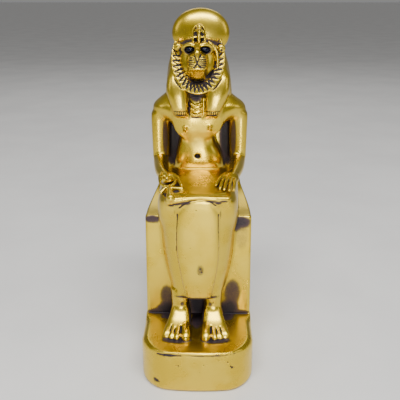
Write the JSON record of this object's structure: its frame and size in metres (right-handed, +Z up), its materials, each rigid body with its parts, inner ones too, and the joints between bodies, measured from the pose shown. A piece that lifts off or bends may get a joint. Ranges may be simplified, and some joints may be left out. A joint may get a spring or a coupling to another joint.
{
  "type": "seated lion-headed goddess statue",
  "caption": "Small gilt cast statue of an Egyptian lioness goddess with a sun disc, seated on a block throne and holding an ankh.",
  "frame": {"origin": "centre of the plinth's underside", "axes": "+Z up the statue, -Y the way she faces, +X towards her left side"},
  "size_m": [0.038, 0.059, 0.12],
  "materials": {
    "polished_gilding": "polished gilding over cast brass with dark toning in the hollows",
    "blue_stone": "polished dark blue cabochon"
  },
  "bodies": {
    "root": {"cast_statue": "polished_gilding", "left_eye_stone": "blue_stone", "right_eye_stone": "blue_stone"}
  },
  "joints": []
}
